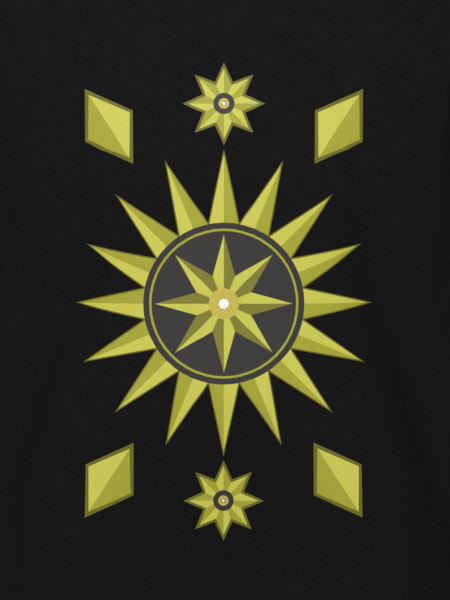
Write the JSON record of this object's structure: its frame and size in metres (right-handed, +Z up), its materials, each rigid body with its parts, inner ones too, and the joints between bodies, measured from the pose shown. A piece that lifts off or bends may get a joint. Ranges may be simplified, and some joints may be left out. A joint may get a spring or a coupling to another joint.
{
  "type": "t-shirt",
  "caption": "Short-sleeved crew-neck T-shirt in black jersey, held in its worn shape, with a ribbed collar, twin-needle hems and a compass-star print on the chest",
  "frame": {"origin": "the middle of the line between the two high shoulder points, where the shoulders carry the shirt", "axes": "+Z up along the body, -Y out of the front, +X towards the wearer's left"},
  "size_m": [0.704, 0.2289, 0.7383],
  "materials": {
    "jersey": "black single jersey cotton, matt, with fine knitted wales",
    "rib": "black one-by-one rib knit, matt",
    "thread": "black polyester sewing thread, faint sheen",
    "label": "bare woven satin label, dark grey",
    "ink_outline": "dark olive screen ink, matt",
    "ink_dark": "deep olive screen ink, matt",
    "ink_middle": "olive green screen ink, matt",
    "ink_light": "light yellow-green screen ink, matt",
    "ink_ochre": "ochre screen ink, matt",
    "ink_charcoal": "charcoal screen ink, matt",
    "ink_white": "white screen ink, matt"
  },
  "bodies": {
    "root": {"back_panel": "jersey", "front_panel": "jersey", "hem_stitch_lower": "thread", "hem_stitch_upper": "thread", "neck_label": "label", "neck_rib": "rib", "neck_stitch_back": "thread", "neck_stitch_front": "thread", "neck_tape": "rib", "print_bottom_charcoal": "ink_charcoal", "print_bottom_left_light": "ink_light", "print_bottom_left_middle": "ink_middle", "print_bottom_left_outline": "ink_outline", "print_bottom_light": "ink_light", "print_bottom_middle": "ink_middle", "print_bottom_ochre": "ink_ochre", "print_bottom_outline": "ink_outline", "print_bottom_right_light": "ink_light", "print_bottom_right_middle": "ink_middle", "print_bottom_right_outline": "ink_outline", "print_bottom_white": "ink_white", "print_centre_charcoal": "ink_charcoal", "print_centre_inner_dark": "ink_dark", "print_centre_inner_light": "ink_light", "print_centre_light": "ink_light", "print_centre_middle": "ink_middle", "print_centre_ochre": "ink_ochre", "print_centre_outline": "ink_outline", "print_centre_ring": "ink_middle", "print_centre_white": "ink_white", "print_top_charcoal": "ink_charcoal", "print_top_left_light": "ink_light", "print_top_left_middle": "ink_middle", "print_top_left_outline": "ink_outline", "print_top_light": "ink_light", "print_top_middle": "ink_middle", "print_top_ochre": "ink_ochre", "print_top_outline": "ink_outline", "print_top_right_light": "ink_light", "print_top_right_middle": "ink_middle", "print_top_right_outline": "ink_outline", "print_top_white": "ink_white", "sleeve_left": "jersey", "sleeve_left_stitch_inner": "thread", "sleeve_left_stitch_outer": "thread", "sleeve_right": "jersey", "sleeve_right_stitch_inner": "thread", "sleeve_right_stitch_outer": "thread"}
  },
  "joints": []
}
